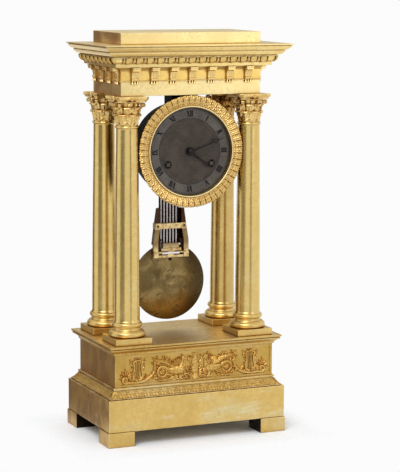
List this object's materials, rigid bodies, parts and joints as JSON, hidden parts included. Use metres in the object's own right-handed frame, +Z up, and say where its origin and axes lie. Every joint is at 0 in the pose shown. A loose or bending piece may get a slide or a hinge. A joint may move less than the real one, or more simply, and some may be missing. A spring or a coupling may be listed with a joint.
{
  "type": "portico mantel clock",
  "caption": "Gilt portico mantel clock: columns on a moulded base carry a deep cornice, with a drum clock and a gridiron pendulum hanging between them.",
  "frame": {"origin": "centre of the base on the surface that the clock stands on", "axes": "+X to the right as the dial is faced, +Y to the back, +Z up"},
  "size_m": [0.2374, 0.1452, 0.48],
  "materials": {
    "gilt_bronze": "worn gilding, soft satin with brown in the hollows",
    "dark_bronze": "dark patina",
    "board": "plain",
    "steel": "polished",
    "blued_steel": "dark blued",
    "dial_metal": "dulled dark silvering with black numerals",
    "movement_brass": "lacquered",
    "bell_metal": "turned",
    "old_bronze": "dull, worn"
  },
  "bodies": {
    "case": {"feet": "gilt_bronze", "plinth": "gilt_bronze", "plinth_moulding": "gilt_bronze", "relief_box": "gilt_bronze", "base_relief": "gilt_bronze", "base_top": "gilt_bronze", "base_board": "board", "column_bases": "gilt_bronze", "tie_rods": "steel", "tie_rod_nuts": "steel", "architrave": "gilt_bronze", "frieze": "gilt_bronze", "modillions": "gilt_bronze", "cornice": "gilt_bronze", "attic_block": "gilt_bronze", "column_shaft_fl": "gilt_bronze", "column_shaft_fr": "gilt_bronze", "column_shaft_bl": "gilt_bronze", "column_shaft_br": "gilt_bronze", "capital_fl": "gilt_bronze", "capital_fr": "gilt_bronze", "capital_bl": "gilt_bronze", "capital_br": "gilt_bronze", "drum": "dark_bronze", "drum_hanger": "dark_bronze", "hanger_bolts": "steel", "bezel": "gilt_bronze", "dial": "dial_metal", "front_plate": "movement_brass", "back_plate": "movement_brass", "pillars": "movement_brass", "plate_screws": "steel", "bell": "bell_metal", "bell_stand": "steel", "suspension_cock": "movement_brass"},
    "going_barrel": {"going_barrel": "movement_brass", "going_spring": "steel"},
    "going_winding": {"going_arbor": "steel"},
    "second": {"second_wheel": "movement_brass"},
    "centre": {"centre_wheel": "movement_brass"},
    "third": {"third_wheel": "movement_brass"},
    "escape": {"escape_wheel": "movement_brass"},
    "anchor": {"anchor": "steel"},
    "minute": {"cannon_pinion": "steel", "minute_hand": "blued_steel"},
    "minute_wheel": {"minute_wheel": "movement_brass"},
    "hour": {"hour_wheel": "movement_brass", "hour_hand": "blued_steel"},
    "strike_barrel": {"strike_barrel": "movement_brass", "strike_spring": "steel"},
    "strike_winding": {"strike_arbor": "steel"},
    "pin_wheel": {"pin_wheel": "movement_brass", "count_wheel": "movement_brass"},
    "fly": {"fly": "movement_brass"},
    "hammer": {"hammer": "steel"},
    "pendulum": {"steel_rods": "steel", "bronze_rods": "old_bronze", "pendulum_frame": "movement_brass", "bob": "old_bronze", "rating_nut": "movement_brass"}
  },
  "joints": [
    {"name": "pendulum_swing", "type": "hinge", "parent": "case", "child": "pendulum", "pos_m": [0, 0.0235, 0.3785], "axis": [0, 1, 0], "range_deg": [-3.5, 3.5]},
    {"name": "anchor_rock", "type": "hinge", "parent": "case", "child": "anchor", "pos_m": [0, -0.004, 0.3785], "axis": [0, 1, 0], "range_deg": [-3.5, 3.5]},
    {"name": "minute_hand_turn", "type": "hinge", "parent": "case", "child": "minute", "pos_m": [0, -0.036, 0.3405], "axis": [0, 1, 0], "continuous": true},
    {"name": "minute_wheel_turn", "type": "hinge", "parent": "case", "child": "minute_wheel", "pos_m": [0, -0.032, 0.3285], "axis": [0, 1, 0], "continuous": true},
    {"name": "hour_hand_turn", "type": "hinge", "parent": "case", "child": "hour", "pos_m": [0, -0.038, 0.3405], "axis": [0, 1, 0], "continuous": true},
    {"name": "third_wheel_turn", "type": "hinge", "parent": "case", "child": "third", "pos_m": [-0.01029, -0.02, 0.35439], "axis": [0, 1, 0], "continuous": true},
    {"name": "centre_wheel_turn", "type": "hinge", "parent": "case", "child": "centre", "pos_m": [0, -0.02, 0.3405], "axis": [0, 1, 0], "continuous": true},
    {"name": "second_wheel_turn", "type": "hinge", "parent": "case", "child": "second", "pos_m": [0.01695, -0.02, 0.34487], "axis": [0, 1, 0], "continuous": true},
    {"name": "going_barrel_turn", "type": "hinge", "parent": "case", "child": "going_barrel", "pos_m": [0.0278, -0.02, 0.3255], "axis": [0, 1, 0], "continuous": true},
    {"name": "escape_wheel_turn", "type": "hinge", "parent": "case", "child": "escape", "pos_m": [0, -0.02, 0.364], "axis": [0, 1, 0], "continuous": true},
    {"name": "going_winding", "type": "hinge", "parent": "case", "child": "going_winding", "pos_m": [0.0278, -0.02, 0.3255], "axis": [0, 1, 0], "continuous": true},
    {"name": "strike_winding", "type": "hinge", "parent": "case", "child": "strike_winding", "pos_m": [-0.0278, -0.02, 0.3255], "axis": [0, 1, 0], "continuous": true},
    {"name": "pin_wheel_turn", "type": "hinge", "parent": "case", "child": "pin_wheel", "pos_m": [-0.00566, -0.02, 0.32394], "axis": [0, 1, 0], "continuous": true},
    {"name": "strike_barrel_turn", "type": "hinge", "parent": "case", "child": "strike_barrel", "pos_m": [-0.0278, -0.02, 0.3255], "axis": [0, 1, 0], "continuous": true},
    {"name": "fly_turn", "type": "hinge", "parent": "case", "child": "fly", "pos_m": [-0.00114, -0.02, 0.31154], "axis": [0, 1, 0], "continuous": true},
    {"name": "hammer_lift", "type": "hinge", "parent": "case", "child": "hammer", "pos_m": [-0.022, 0, 0.3045], "axis": [0, 1, 0], "range_deg": [-12, 0]}
  ],
  "couplings": [
    {"joint": "anchor_rock", "follows": "pendulum_swing", "ratio": 1},
    {"joint": "minute_wheel_turn", "follows": "minute_hand_turn", "ratio": -0.33333},
    {"joint": "hour_hand_turn", "follows": "minute_hand_turn", "ratio": 0.083333},
    {"joint": "centre_wheel_turn", "follows": "third_wheel_turn", "ratio": -0.090909},
    {"joint": "second_wheel_turn", "follows": "third_wheel_turn", "ratio": 0.015152},
    {"joint": "going_barrel_turn", "follows": "third_wheel_turn", "ratio": -0.0023674},
    {"joint": "escape_wheel_turn", "follows": "third_wheel_turn", "ratio": -10},
    {"joint": "strike_barrel_turn", "follows": "pin_wheel_turn", "ratio": -0.15625},
    {"joint": "fly_turn", "follows": "pin_wheel_turn", "ratio": -10}
  ]
}
